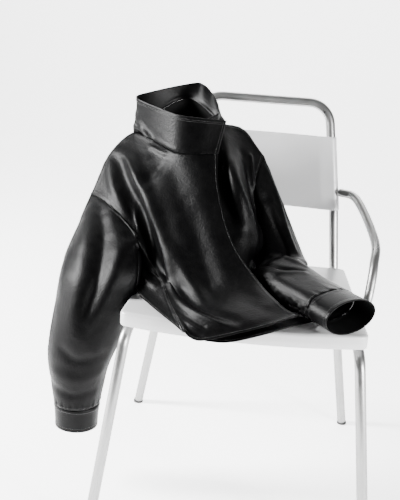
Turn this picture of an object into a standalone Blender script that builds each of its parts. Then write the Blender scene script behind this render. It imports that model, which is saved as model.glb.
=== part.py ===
"""Leather jacket sitting on a tubular metal armchair. Metres, +Z up, chair facing -Y.

Every table below is measured from the floor under the chair's middle. The last lines move
the whole so that its origin is under the middle of jacket and chair together.
"""
import bpy
import numpy as np
from math import cos, sin, radians, pi

# ---- chair sizes (m) --------------------------------------------------------
TUBE_R = 0.011
TUBE_SIDES = 12
SEAT_TOP = 0.458
SEAT_EDGE = 0.030          # height of the folded edge
SEAT_FRONT = 0.245         # half width at the front corners
SEAT_REAR = 0.225          # half width at the rear corners
SEAT_FRONT_Y = -0.224
SEAT_REAR_Y = 0.190
SEAT_BOW = 0.030           # how far the front edge bows forward at its middle
SEAT_LIP = 0.020
SEAT_CORNER = 0.014
SHEET = 0.002
RAIL_Z = SEAT_TOP - SEAT_EDGE - TUBE_R - 0.0004
FRONT_FOOT = (0.281, -0.300)
FRONT_TOP = (0.232, -0.214)
REAR_FOOT = (0.276, 0.269)
REAR_TOP = (0.203, 0.208)
LOOP_LOW = (0.187, 0.241, 0.590)
LOOP_TOP = (0.153, 0.297, 0.836)
PANEL_LOW = 0.590
PANEL_TOP = 0.761
PANEL_BOW = 0.012
FOOT_CAP_R = 0.0125
FOOT_CAP_H = 0.006
MIDDLE = (-0.06104, -0.00299)   # x, y of the middle of jacket and chair together
GAP = 0.0003               # between pieces that meet
CROSSING_GAP = 0.0025      # where four seams cross at the underarm and shoulder
CROSSING_REACH = 0.035     # and how far along each seam the gap takes to close

# ---- garment sizes (m) ------------------------------------------------------
LEATHER = 0.0012
COLLAR_PLY = 0.0011
BODY_ROWS = 20             # hem to shoulder
SIDE_ROWS = 11             # of which the side seam takes the lower ones
SLEEVE_ROWS = 18
CUFF_ROWS = 2
COLLAR_ROWS = 4
HALF_SLEEVE = BODY_ROWS - SIDE_ROWS

# Rows run hem, low, waist, underarm, chest, shoulder; positions are x, y, z in mm.
RIGHT_FRONT = {            # columns: placket edge, inner, middle, outer, side seam or armhole
    "hem": ((104, -232, 489), (43, -270, 475), (-21, -288, 458), (-78, -296, 444), (-111, -292, 457)),
    "low": ((70, -208, 498), (-3, -244, 487), (-72, -260, 475), (-107, -246, 474), (-146, -210, 475)),
    "waist": ((21, -150, 523), (-49, -170, 514), (-131, -160, 500), (-160, -128, 497), (-188, -112, 502)),
    "underarm": ((-40, -90, 586), (-99, -100, 584), (-180, -88, 573), (-219, -56, 562), (-243, -58, 553)),
    "chest": ((-78, -30, 675), (-143, -40, 672), (-233, -14, 665), (-290, 22, 658), (-315, -3, 612)),
    "shoulder": ((-89, 18, 742), (-180, 18, 739), (-291, 120, 759), (-340, 97, 708), (-372, 55, 622)),
}
LEFT_FRONT = {             # columns: hidden edge, inner, middle, outer, side seam or armhole
    "hem": ((-68, -286, 440), (-24, -288, 443), (38, -284, 463), (94, -252, 474), (140, -190, 464)),
    "low": ((-20, -246, 471), (8, -240, 473), (40, -215, 472), (56, -150, 468), (32, -48, 468)),
    "waist": ((-24, -124, 509), (-10, -98, 514), (0, -68, 510), (10, -34, 502), (16, 8, 497)),
    "underarm": ((-72, -50, 578), (-35, -42, 589), (-6, -28, 584), (12, 14, 568), (28, 64, 546)),
    "chest": ((-110, 2, 670), (-76, 16, 690), (-46, 0, 697), (-21, 46, 681), (-4, 64, 662)),
    "shoulder": ((-125, 48, 742), (-110, 78, 762), (-90, 122, 795), (-42, 135, 781), (8, 125, 729)),
}
BACK = {                   # columns: right side, outer, right, centre, left, outer, left side
    "hem": ((-111, -292, 457), (-229, -130, 470), (-205, -82, 490), (-110, -40, 464), (0, -40, 463),
            (86, -100, 461), (140, -190, 464)),
    "low": ((-146, -210, 475), (-229, -75, 486), (-210, 10, 484), (-110, 50, 465), (-10, 55, 464),
            (22, 20, 462), (32, -48, 468)),
    "waist": ((-188, -112, 502), (-228, -20, 520), (-202, 110, 512), (-110, 166, 484), (-30, 165, 484),
              (4, 95, 482), (16, 8, 497)),
    "underarm": ((-243, -58, 553), (-233, 60, 590), (-182, 172, 600), (-110, 205, 602), (-44, 200, 602),
                 (0, 146, 582), (28, 64, 546)),
    "chest": ((-308, 98, 652), (-278, 165, 690), (-215, 212, 710), (-135, 230, 712), (-55, 225, 705),
              (-8, 195, 680), (30, 128, 632)),
    "shoulder": ((-372, 55, 622), (-340, 97, 708), (-291, 120, 759), (-190, 206, 832), (-90, 122, 795),
                 (-42, 135, 781), (8, 125, 729)),
}
# Rings below the armhole. heading and dip point along the sleeve, wide lies level, deep stands
# across it; over and under are the angles of the two seams.
SLEEVE_COLUMNS = ("x", "y", "z", "heading", "dip", "wide", "deep", "over", "under")
RIGHT_SLEEVE = (
    (-325, -45, 534, -125, 90, 84, 50, 172, -12),
    (-321, -90, 468, -105, 86, 84, 60, 165, 6),
    (-333, -110, 372, -90, 88, 79, 62, 160, 8),
    (-350, -118, 290, -92, 90, 66, 53, 160, 5),
    (-352, -117, 200, -90, 92, 51, 46, 160, 5),
    (-353, -116, 137, -90, 90, 46, 42, 160, 5),
)
LEFT_SLEEVE = (
    (68, 68, 532, -76, 70, 38, 56, 30, 190),
    (74, 2, 507, -66, 42, 55, 43, 26, 196),
    (73, -54, 505, -54, 14, 63, 38, 22, 200),
    (104, -102, 502, -52, 6, 64, 35, 20, 200),
    (154, -166, 499, -52, 4, 61, 34, 20, 200),
    (205, -229, 495, -52, 3, 62, 35, 20, 200),
)
CUFF_LENGTH = 0.058
# Collar rim from the right front's end, round the back, to the left front's hidden end.
RIM = (
    (-77, 43, 812), (-132, 30, 815), (-178, 35, 817), (-227, 70, 824), (-288, 120, 838),
    (-262, 170, 848), (-172, 210, 870), (-145, 205, 868), (-124, 188, 853), (-109, 152, 837),
    (-102, 108, 820), (-128, 74, 804),
)


# ---- surfaces ---------------------------------------------------------------
def spline(points, places):
    """Catmull-Rom through points at whole-number places, read at the given places."""
    p = np.asarray(points, float)
    ends = np.concatenate([[2 * p[0] - p[1]], p, [2 * p[-1] - p[-2]]])
    out = []
    for t in places:
        i = min(int(t), len(p) - 2)
        f = t - i
        a, b, c, d = ends[i:i + 4]
        out.append(0.5 * (2 * b + (c - a) * f + (2 * a - 5 * b + 4 * c - d) * f * f
                          + (3 * b - a - 3 * c + d) * f ** 3))
    return np.array(out)


def stops(pairs):
    """Places along a control row: (mesh steps, control steps) for each stretch in turn."""
    out, at = [0.0], 0.0
    for steps, span in pairs:
        out += [at + span * (k + 1) / steps for k in range(steps)]
        at += span
    return out


ROW_PLACES = stops([(SIDE_ROWS, 3), (BODY_ROWS - SIDE_ROWS, 2)])
RIGHT_FRONT_PLACES = stops([(10, 2), (7, 2)])
LEFT_FRONT_PLACES = stops([(5, 2), (6, 2)])
BACK_PLACES = stops([(7, 2), (9, 2), (6, 2)])


def panel(table, places):
    """Grid [row, column] of a panel, in metres."""
    net = np.array([table[row] for row in table], float) / 1000
    rows = np.array([spline(r, places) for r in net])
    return np.array([spline(rows[:, k], ROW_PLACES) for k in range(rows.shape[1])]).transpose(1, 0, 2)


def pull_edge(grid, edge, side, reach):
    """Moves one edge of a grid onto a given curve and eases the rows beside it."""
    g = {"top": grid[::-1], "first": grid.transpose(1, 0, 2),
         "last": grid.transpose(1, 0, 2)[::-1]}[side]
    n = len(edge)
    shift = edge - g[0][:n]
    for k in range(reach):
        g[k][:n] += shift * (1 - k / reach) ** 2


def shared_edges(front, back, n_neck_front, back_columns, last_side):
    """One side seam and one shoulder seam for a front and the back."""
    f_side = front[:SIDE_ROWS + 1, -1]
    b_side = back[:SIDE_ROWS + 1, -1 if last_side else 0]
    seam = 0.5 * (f_side + b_side)
    pull_edge(front, seam, "last", 4)
    pull_edge(back, seam, "last" if last_side else "first", 4)
    f_top = front[-1, n_neck_front:]
    b_top = back[-1, back_columns]
    seam = 0.5 * (f_top + b_top)
    for grid, columns in ((front, slice(n_neck_front, None)), (back, back_columns)):
        shift = seam - grid[-1, columns]
        for k in range(4):
            grid[-1 - k, columns] += shift * (1 - k / 4) ** 2


def build_panels():
    right = panel(RIGHT_FRONT, RIGHT_FRONT_PLACES)
    left = panel(LEFT_FRONT, LEFT_FRONT_PLACES)
    back = panel(BACK, BACK_PLACES)
    shared_edges(right, back, 10, slice(7, None, -1), False)
    shared_edges(left, back, 5, slice(16, 23), True)
    return right, left, back


def ring(row, n_half):
    """One sleeve ring: the front half from the over seam, then the back half to it again."""
    v = dict(zip(SLEEVE_COLUMNS, row))
    head, dip = radians(v["heading"]), radians(v["dip"])
    ahead = np.array([cos(head), sin(head), 0])
    wide = np.array([-ahead[1], ahead[0], 0])
    deep = ahead * sin(dip) + np.array([0, 0, cos(dip)])
    turn = 360 if v["under"] > v["over"] else -360
    a = np.concatenate([np.linspace(v["over"], v["under"], n_half + 1)[:-1],
                        np.linspace(v["under"], v["over"] + turn, n_half + 1)[:-1]])
    a = np.radians(a)[:, None]
    c = np.array([v["x"], v["y"], v["z"]])
    return (c + wide * v["wide"] * np.cos(a) + deep * v["deep"] * np.sin(a)) / 1000


def sleeve(armhole, table):
    """Grid [row, column] from the armhole to the cuff's end; the last rows are the cuff."""
    n = len(armhole) // 2
    rings = np.array([armhole] + [ring(r, n) for r in table])
    length = np.linalg.norm(rings[-1].mean(0) - rings[-2].mean(0))
    cuff = 1 - CUFF_LENGTH / length
    last = len(rings) - 2
    places = [k * (last + cuff) / SLEEVE_ROWS for k in range(SLEEVE_ROWS + 1)]
    places += [last + cuff + (1 - cuff) * (k + 1) / CUFF_ROWS for k in range(CUFF_ROWS)]
    return np.array([spline(rings[:, k], places) for k in range(2 * n)]).transpose(1, 0, 2)


# ---- solids -----------------------------------------------------------------
def material(name, color, metallic, roughness):
    m = bpy.data.materials.new(name)
    m.use_nodes = True
    b = m.node_tree.nodes["Principled BSDF"]
    b.inputs["Base Color"].default_value = (*color, 1)
    b.inputs["Metallic"].default_value = metallic
    b.inputs["Roughness"].default_value = roughness
    m.diffuse_color = (*color, 1)
    return m


def solid(name, verts, faces, mat):
    mesh = bpy.data.meshes.new(name)
    mesh.from_pydata([tuple(v) for v in verts], [], [tuple(f) for f in faces])
    mesh.validate()
    mesh.materials.append(mat)
    obj = bpy.data.objects.new(name, mesh)
    bpy.context.scene.collection.objects.link(obj)
    return obj


def quad_normals(points, quads):
    """Vertex normals, longer across a sharp fold so that the wall keeps its thickness there."""
    n, fit, count = np.zeros_like(points), np.zeros(len(points)), np.zeros(len(points))
    q = points[quads]
    face = np.cross(q[:, 2] - q[:, 0], q[:, 3] - q[:, 1])
    for k in range(4):
        np.add.at(n, quads[:, k], face)
    n /= np.maximum(np.linalg.norm(n, axis=1, keepdims=True), 1e-12)
    face /= np.maximum(np.linalg.norm(face, axis=1, keepdims=True), 1e-12)
    for k in range(4):
        np.add.at(fit, quads[:, k], (face * n[quads[:, k]]).sum(1))
        np.add.at(count, quads[:, k], 1)
    return n / np.clip(fit / np.maximum(count, 1), 0.4, 1)[:, None]


def cloth(name, points, normals, quads, thick, mat, lift=0.0, crossings=()):
    """A wall on some quads of a shared sheet, drawn in from its edges by half a seam gap."""
    used, quads = np.unique(quads, return_inverse=True)
    quads = quads.reshape(-1, 4)
    p, n = points[used].copy(), normals[used]
    count = {}
    for q in quads:
        for a, b in zip(q, np.roll(q, -1)):
            count[(a, b)] = count.get((a, b), 0) + 1
    border = [(a, b) for a, b in count if (b, a) not in count]
    inward = np.zeros_like(p)
    for a, b in border:
        along = p[b] - p[a]
        side = np.cross((n[a] + n[b]) / 2, along)
        side /= max(np.linalg.norm(side), 1e-12)
        inward[a] += side
        inward[b] += side
    size = np.linalg.norm(inward, axis=1, keepdims=True)
    fold = np.linalg.norm(n, axis=1, keepdims=True) - 1
    p += np.where(size > 0, inward / np.maximum(size, 1e-9) * (GAP * 0.55 + 0.6 * thick * fold), 0)
    for c in crossings:
        near = 1 - np.linalg.norm(points[used] - points[c], axis=1, keepdims=True) / CROSSING_REACH
        p += np.where(size > 0, inward / np.maximum(size, 1e-9) * CROSSING_GAP * np.clip(near, 0, 1), 0)
    # Each four-sided face is split along its shorter diagonal, alike on both sides of the wall.
    short = (np.linalg.norm(p[quads[:, 0]] - p[quads[:, 2]], axis=1)
             < np.linalg.norm(p[quads[:, 1]] - p[quads[:, 3]], axis=1))
    tris = np.concatenate([quads[short][:, [0, 1, 2]], quads[short][:, [0, 2, 3]],
                           quads[~short][:, [0, 1, 3]], quads[~short][:, [1, 2, 3]]])
    m = len(p)
    top, under = p + n * (lift + thick / 2), p + n * (lift - thick / 2)
    faces = [tuple(t) for t in tris] + [tuple(t[::-1] + m) for t in tris]
    faces += [(b, a, a + m, b + m) for a, b in border]
    return solid(name, np.vstack([top, under]), faces, mat)


class Sheet:
    """Vertices shared by joined panels, so that neighbours have one edge and one normal."""

    def __init__(self):
        self.points, self.index, self.quads, self.parts = [], {}, [], {}

    def vertex(self, p):
        key = tuple(np.round(p, 5))
        if key not in self.index:
            self.index[key] = len(self.points)
            self.points.append(p)
        return self.index[key]

    def add(self, name, grid):
        ids = np.array([[self.vertex(p) for p in row] for row in grid])
        quads = np.stack([ids[:-1, :-1], ids[:-1, 1:], ids[1:, 1:], ids[1:, :-1]], -1).reshape(-1, 4)
        self.parts.setdefault(name, []).append(quads)

    def walls(self, settings):
        points = np.array(self.points)
        quads = {k: np.concatenate(v) for k, v in self.parts.items()}
        normals = quad_normals(points, np.concatenate(list(quads.values())))
        owners = np.bincount(np.concatenate([np.unique(q) for q in quads.values()]))
        crossings = np.flatnonzero(owners > 3)
        normals[crossings] /= np.linalg.norm(normals[crossings], axis=1, keepdims=True)
        for name, thick, lift, source in settings:
            cloth(name, points, normals, quads[source], thick, LEATHER_MAT, lift, crossings)


def closed_columns(grid):
    return np.concatenate([grid, grid[:, :1]], axis=1)


def build_jacket():
    right, left, back = build_panels()
    sheet = Sheet()
    # Columns of each panel are turned so that the faces look outward.
    sheet.add("right_front", right[:, ::-1])
    sheet.add("left_front", left)
    sheet.add("back", back[:, ::-1])
    arm_r = np.concatenate([right[SIDE_ROWS:, -1][::-1][:-1], back[SIDE_ROWS:, 0][:-1]])
    arm_l = np.concatenate([left[SIDE_ROWS:, -1][::-1][:-1], back[SIDE_ROWS:, -1][:-1]])
    for side, loop, table in (("right", arm_r, RIGHT_SLEEVE), ("left", arm_l, LEFT_SLEEVE)):
        g = closed_columns(sleeve(loop, table))
        step = 1 if side == "right" else -1
        h = HALF_SLEEVE
        for half, part in (("front", g[:, :h + 1]), ("back", g[:, h:])):
            sheet.add(side + "_sleeve_" + half, part[:SLEEVE_ROWS + 1, ::-step])
        sheet.add(side + "_cuff", g[SLEEVE_ROWS:, ::-step])
    neck = np.concatenate([right[-1, :11], back[-1, 8:17], left[-1, :5][::-1]])
    u = np.concatenate([[0], np.cumsum(np.linalg.norm(np.diff(neck, axis=0), axis=1))])
    rim_u = spline(np.array(RIM) / 1000, np.linspace(0, len(RIM) - 1, 200))
    r = np.concatenate([[0], np.cumsum(np.linalg.norm(np.diff(rim_u, axis=0), axis=1))])
    at = np.interp(u / u[-1], r / r[-1], np.linspace(0, 1, 200))
    rim = np.stack([np.interp(at, np.linspace(0, 1, 200), rim_u[:, k]) for k in range(3)], 1)
    rows = [neck + (rim - neck) * (k / COLLAR_ROWS) for k in range(COLLAR_ROWS + 1)]
    sheet.add("collar", np.array(rows)[:, ::-1])
    ply = COLLAR_PLY / 2 + GAP / 2
    settings = [("right_front", LEATHER, 0, "right_front"), ("left_front", LEATHER, 0, "left_front"),
                ("back", LEATHER, 0, "back")]
    for side in ("right", "left"):
        for piece in ("_sleeve_front", "_sleeve_back", "_cuff"):
            settings.append((side + piece, LEATHER, 0, side + piece))
    settings += [("collar_outer", COLLAR_PLY, ply, "collar"), ("collar_inner", COLLAR_PLY, -ply, "collar")]
    sheet.walls(settings)


# ---- chair ------------------------------------------------------------------
def rounded(points, radii, steps=5):
    """Polyline with its inner corners replaced by arcs."""
    p = [np.array(q, float) for q in points]
    out = [p[0]]
    for k in range(1, len(p) - 1):
        a, b = p[k - 1] - p[k], p[k + 1] - p[k]
        la, lb = np.linalg.norm(a), np.linalg.norm(b)
        a, b = a / la, b / lb
        half = np.arccos(np.clip(a @ b, -1, 1)) / 2
        cut = min(radii[k - 1] / np.tan(half), 0.49 * la, 0.49 * lb)
        r = cut * np.tan(half)
        centre = p[k] + (a + b) / np.linalg.norm(a + b) * r / np.sin(half)
        s, e = p[k] + a * cut - centre, p[k] + b * cut - centre
        total = np.arccos(np.clip(s @ e / r / r, -1, 1))
        for j in range(steps + 1):
            t = j / steps
            out.append(centre + (s * np.sin((1 - t) * total) + e * np.sin(t * total)) / np.sin(total))
    out.append(p[-1])
    return np.array(out)


def tube(name, path, radius, mat, sides=TUBE_SIDES):
    d = np.gradient(path, axis=0)
    seg = np.diff(path, axis=0)
    seg /= np.linalg.norm(seg, axis=1, keepdims=True)
    d[0], d[-1] = seg[0], seg[-1]
    d[1:-1] = seg[:-1] + seg[1:]
    d /= np.linalg.norm(d, axis=1, keepdims=True)
    side = np.cross(d[0], (0.0, 1.0, 0.0) if abs(d[0][1]) < 0.9 else (1.0, 0.0, 0.0))
    verts = []
    for k, p in enumerate(path):
        side = side - d[k] * (side @ d[k])
        side /= np.linalg.norm(side)
        up = np.cross(d[k], side)
        for j in range(sides):
            a = 2 * pi * j / sides
            verts.append(p + radius * (side * cos(a) + up * sin(a)))
    n, m = len(path), sides
    faces = [(i * m + j, i * m + (j + 1) % m, (i + 1) * m + (j + 1) % m, (i + 1) * m + j)
             for i in range(n - 1) for j in range(m)]
    faces += [tuple(reversed(range(m))), tuple(range((n - 1) * m, n * m))]
    return solid(name, verts, faces, mat)


def mirrored(points):
    return [(-x, y, z) for x, y, z in points]


def leg_start(foot, top, top_z):
    """Where the tube meets the foot cap, and the direction up the leg."""
    a, b = np.array([*foot, 0.0]), np.array([*top, top_z])
    d = (b - a) / np.linalg.norm(b - a)
    return a, d


def foot_cap(name, foot, top, top_z):
    a, d = leg_start(foot, top, top_z)
    side = np.cross(d, (0, 1, 0))
    side /= np.linalg.norm(side)
    up = np.cross(d, side)
    m, verts = TUBE_SIDES, []
    for h, r in ((0.0, FOOT_CAP_R), (FOOT_CAP_H, TUBE_R + 0.0008)):
        for j in range(m):
            w = 2 * pi * j / m
            off = r * (side * cos(w) + up * sin(w))
            p = a + d * (h / d[2]) + off
            if h == 0.0:
                p = p - d * (p[2] / d[2])
            verts.append(p)
    faces = [(j, (j + 1) % m, m + (j + 1) % m, m + j) for j in range(m)]
    faces += [tuple(reversed(range(m))), tuple(range(m, 2 * m))]
    return solid(name, verts, faces, RUBBER)


def build_frame():
    rear_z = SEAT_TOP - SEAT_EDGE
    for sx, side in ((-1, "left"), (1, "right")):
        start, d = leg_start(FRONT_FOOT, FRONT_TOP, RAIL_Z)
        first = start + d * ((FOOT_CAP_H + GAP * 2) / d[2])
        rail_end = (REAR_TOP[0] + 0.001, REAR_TOP[1] - TUBE_R * 2 - 0.0006, RAIL_Z)
        path = rounded([first, (*FRONT_TOP, RAIL_Z), rail_end], [0.045], 7)
        path[:, 0] *= sx
        tube("front_leg_" + side, path, TUBE_R, STEEL)
        foot_cap("foot_front_" + side, (sx * FRONT_FOOT[0], FRONT_FOOT[1]),
                 (sx * FRONT_TOP[0], FRONT_TOP[1]), RAIL_Z)
        foot_cap("foot_rear_" + side, (sx * REAR_FOOT[0], REAR_FOOT[1]),
                 (sx * REAR_TOP[0], REAR_TOP[1]), rear_z)
    start, d = leg_start(REAR_FOOT, REAR_TOP, rear_z)
    first = start + d * ((FOOT_CAP_H + GAP * 2) / d[2])
    half = [tuple(first), (*REAR_TOP, rear_z), LOOP_LOW, LOOP_TOP]
    path = rounded(half + mirrored(half)[::-1], [0.10, 0.25, 0.055, 0.055, 0.25, 0.10], 5)
    tube("back_frame", path, TUBE_R, STEEL)
    x, y = upright(0.634)
    arm = [(x + 0.0152, y - 0.0110, 0.634), (0.236, 0.205, 0.626), (0.272, 0.080, 0.566),
           (0.268, 0.010, 0.530), (0.262, -0.022, 0.480), (SEAT_FRONT + 0.012, -0.030, 0.446)]
    fine = spline(arm, np.linspace(0, len(arm) - 1, 19))
    for sx, side in ((-1, "left"), (1, "right")):
        tube("arm_" + side, fine * np.array([sx, 1, 1]), TUBE_R - 0.001, STEEL)


def seat_outline(inset, n_front=12, n_side=6):
    """Closed plan outline, anticlockwise seen from above, with rounded corners."""
    w_f, w_r = SEAT_FRONT - inset, SEAT_REAR - inset
    y_f, y_r = SEAT_FRONT_Y + inset, SEAT_REAR_Y - inset
    front = [(x, y_f - SEAT_BOW * (1 - (x / w_f) ** 2)) for x in np.linspace(-w_f, w_f, n_front + 1)]
    sides = [front, [(w_f, y_f), (w_r, y_r)], [(w_r, y_r), (-w_r, y_r)], [(-w_r, y_r), (-w_f, y_f)]]
    radius = max(SEAT_CORNER - inset, 0.004)
    loop = []
    for k, line in enumerate(sides):
        line = np.array(line if k == 0 else np.linspace(line[0], line[1], n_side + 1))
        after = np.array(sides[(k + 1) % 4][1])
        c, a, b = line[-1], line[-2] - line[-1], after - line[-1]
        a, b = a / np.linalg.norm(a), b / np.linalg.norm(b)
        loop += list(line[1:-1])
        for t in (0.0, 0.33, 0.67, 1.0):
            loop.append(c + a * radius * (1 - t) ** 2 + b * radius * t ** 2)
    return np.array(loop)


def build_seat():
    """A sheet pan: flat top, folded edge and a lip turned in under it."""
    z1, z0 = SEAT_TOP, SEAT_TOP - SEAT_EDGE
    profile = [(0.012, z1, 0), (0.004, z1 - 0.0015, 0), (0.0, z1 - 0.006, 0), (0.0, z0, 0)]
    inner = [(SHEET, z0 + SHEET, 0), (SHEET, z1 - 0.0068, 0), (0.0052, z1 - 0.0035, 0), (0.012, z1 - SHEET, 0)]
    lip = [(SEAT_LIP, z0, 0), (SEAT_LIP, z0 + SHEET, 0)]
    rings = [(i, z) for i, z, _ in profile + lip + inner]
    loops = [np.column_stack([seat_outline(i), np.full(len(seat_outline(0)), z)]) for i, z in rings]
    m = len(loops[0])
    verts = list(np.concatenate(loops))
    faces = []
    for k in range(len(loops) - 1):
        faces += [(k * m + j, (k + 1) * m + j, (k + 1) * m + (j + 1) % m, k * m + (j + 1) % m)
                  for j in range(m)]
    last = (len(loops) - 1) * m
    faces += [tuple(range(m)), tuple(last + j for j in reversed(range(m)))]
    solid("seat", verts, faces, PAINT)


def upright(z):
    """Centre of the right upright at a height, in x and y."""
    rise = z - LOOP_LOW[2]
    run = LOOP_TOP[2] - LOOP_LOW[2]
    return (LOOP_LOW[0] + (LOOP_TOP[0] - LOOP_LOW[0]) * rise / run,
            LOOP_LOW[1] + (LOOP_TOP[1] - LOOP_LOW[1]) * rise / run)


def build_back_panel():
    """A sheet bowed gently backwards, its side edges rolled round the front of the uprights."""
    radius = TUBE_R + SHEET / 2 + 0.0006
    rows = []
    for z in np.linspace(PANEL_LOW, PANEL_TOP, 7):
        x, y = upright(z)
        flat = [(t, y - radius + PANEL_BOW * max(0, 1 - (t / (x - 0.03)) ** 2), z) for t in np.linspace(-x, x, 15)]
        roll = [(x + radius * sin(a), y - radius * cos(a), z) for a in np.radians((27, 54, 80))]
        rows.append(mirrored(roll)[::-1] + flat + roll)
    g = np.array(rows)
    ids = np.arange(g.shape[0] * g.shape[1]).reshape(g.shape[:2])
    quads = np.stack([ids[:-1, :-1], ids[:-1, 1:], ids[1:, 1:], ids[1:, :-1]], -1).reshape(-1, 4)
    pts = g.reshape(-1, 3)
    cloth("back_panel", pts, quad_normals(pts, quads), quads, SHEET, PAINT)


for thing in list(bpy.data.objects):
    bpy.data.objects.remove(thing)
LEATHER_MAT = material("black_leather", (0.012, 0.012, 0.013), 0.0, 0.34)
STEEL = material("brushed_steel", (0.62, 0.62, 0.61), 1.0, 0.32)
PAINT = material("painted_sheet", (0.74, 0.74, 0.75), 0.2, 0.42)
RUBBER = material("rubber", (0.02, 0.02, 0.02), 0.0, 0.75)
build_frame()
build_seat()
build_back_panel()
build_jacket()
for thing in bpy.data.objects:
    thing.location = (-MIDDLE[0], -MIDDLE[1], 0)
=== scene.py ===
"""A black leather jacket slumped on the seat of a tubular metal armchair."""
import bpy
import numpy as np
from math import cos, sin, pi, radians
from mathutils import Matrix, Vector
from mathutils.kdtree import KDTree


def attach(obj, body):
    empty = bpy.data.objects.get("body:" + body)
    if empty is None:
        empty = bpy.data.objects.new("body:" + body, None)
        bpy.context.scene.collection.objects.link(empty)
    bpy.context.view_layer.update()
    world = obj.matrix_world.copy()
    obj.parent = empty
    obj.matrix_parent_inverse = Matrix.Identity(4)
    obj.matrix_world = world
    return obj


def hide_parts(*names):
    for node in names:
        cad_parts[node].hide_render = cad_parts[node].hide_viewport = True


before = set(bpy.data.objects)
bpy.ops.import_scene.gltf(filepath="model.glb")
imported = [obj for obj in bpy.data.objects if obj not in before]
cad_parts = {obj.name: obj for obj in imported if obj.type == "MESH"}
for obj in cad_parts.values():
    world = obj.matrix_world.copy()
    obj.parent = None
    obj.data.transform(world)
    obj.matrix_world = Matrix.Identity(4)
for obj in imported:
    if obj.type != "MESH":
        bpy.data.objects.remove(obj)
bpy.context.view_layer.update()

# ---- the view ---------------------------------------------------------------
# All tables in this file are measured from the floor under the chair's middle, and UNDER_MIDDLE
# moves them to the frame's own origin. The camera looks down at the chair from its front left.
UNDER_MIDDLE = np.array([0.06104, 0.00299, 0.0])
eye = np.array([0.027, -1.674, 1.05]) + UNDER_MIDDLE
turn, down, tilt = -0.083, 0.300, 0.067
ahead = np.array([sin(turn) * cos(down), cos(turn) * cos(down), -sin(down)])
level = np.array([cos(turn), -sin(turn), 0.0])
over = np.cross(level, ahead)
side = level * cos(tilt) + over * sin(tilt)
over = over * cos(tilt) - level * sin(tilt)
lens = bpy.data.cameras.new("camera")
lens.lens, lens.sensor_width = 57.52, 36.0
lens.clip_start, lens.clip_end = 0.05, 60
add_object = bpy.context.scene.collection.objects.link
camera = bpy.data.objects.new("camera", lens)
camera.matrix_world = Matrix([[side[k], over[k], -ahead[k], eye[k]] for k in range(3)] + [[0, 0, 0, 1]])
add_object(camera)
bpy.context.scene.camera = camera


# ---- front legs -------------------------------------------------------------
# Each front leg and the rail under the seat are one bent steel tube, 22 mm across, brushed
# along its length and left bare.
TUBE_R = 0.011
TUBE_SIDES = 48
SEAT_TOP, SEAT_EDGE = 0.458, 0.030
RAIL_Z = SEAT_TOP - SEAT_EDGE - TUBE_R - 0.0004
FRONT_FOOT, FRONT_TOP = (0.281, -0.300), (0.232, -0.214)
REAR_FOOT, REAR_TOP = (0.276, 0.269), (0.203, 0.208)
FOOT_CAP_H, CAP_GAP = 0.006, 0.0006
HANDS = ((-1, "left"), (1, "right"))      # the viewer's left and right


def spline(points, places):
    """Smooth curve through points at whole-number places, read at the given places."""
    p = np.asarray(points, float)
    ends = np.concatenate([[2 * p[0] - p[1]], p, [2 * p[-1] - p[-2]]])
    t = np.asarray(places, float)
    i = np.minimum(t.astype(int), len(p) - 2)
    f = (t - i).reshape((-1,) + (1,) * (p.ndim - 1))
    a, b, c, d = (ends[i + k] for k in range(4))
    return 0.5 * (2 * b + (c - a) * f + (2 * a - 5 * b + 4 * c - d) * f * f
                  + (3 * b - a - 3 * c + d) * f ** 3)


def unit(v):
    """Vectors scaled to a length of one."""
    return v / np.maximum(np.linalg.norm(v, axis=-1, keepdims=True), 1e-12)


def along(path):
    """How far along a path each of its points is."""
    return np.concatenate([[0], np.cumsum(np.linalg.norm(np.diff(path, axis=0), axis=1))])


def rounded(points, radii, steps=18):
    """Polyline with its inner corners replaced by arcs."""
    p = [np.array(q, float) for q in points]
    out = [p[0]]
    for k in range(1, len(p) - 1):
        a, b = p[k - 1] - p[k], p[k + 1] - p[k]
        la, lb = np.linalg.norm(a), np.linalg.norm(b)
        a, b = a / la, b / lb
        half = np.arccos(np.clip(a @ b, -1, 1)) / 2
        cut = min(radii[k - 1] / np.tan(half), 0.49 * la, 0.49 * lb)
        r = cut * np.tan(half)
        centre = p[k] + unit(a + b) * r / np.sin(half)
        s, e = p[k] + a * cut - centre, p[k] + b * cut - centre
        total = np.arccos(np.clip(s @ e / r / r, -1, 1))
        for j in range(steps + 1):
            t = j / steps
            out.append(centre + (s * np.sin((1 - t) * total) + e * np.sin(t * total)) / np.sin(total))
    out.append(p[-1])
    return np.array(out)


def put(name, verts, faces, mat, sharp=None, per_face=None):
    """A mesh object at the origin, from points measured under the chair's middle."""
    mesh = bpy.data.meshes.new(name)
    mesh.from_pydata((np.asarray(verts) + UNDER_MIDDLE).tolist(), [], [tuple(map(int, f)) for f in faces])
    mesh.validate()
    for m in mat if isinstance(mat, list) else [mat]:
        mesh.materials.append(m)
    if per_face is not None:
        mesh.polygons.foreach_set("material_index", per_face)
    mesh.shade_smooth()
    if sharp:
        mesh.set_sharp_from_angle(angle=radians(sharp))
    obj = bpy.data.objects.new(name, mesh)
    add_object(obj)
    return obj


def ring_faces(rings, m=TUBE_SIDES):
    """Faces of a solid made of rings of m points: its sides, then its two flat ends."""
    sides = [(i * m + j, i * m + (j + 1) % m, (i + 1) * m + (j + 1) % m, (i + 1) * m + j)
             for i in range(rings - 1) for j in range(m)]
    return sides + [tuple(reversed(range(m))), tuple(range((rings - 1) * m, rings * m))]


def circle(across, up):
    """One ring of directions round a tube."""
    a = np.arange(TUBE_SIDES)[:, None] * 2 * pi / TUBE_SIDES
    return across * np.cos(a) + up * np.sin(a)


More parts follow.
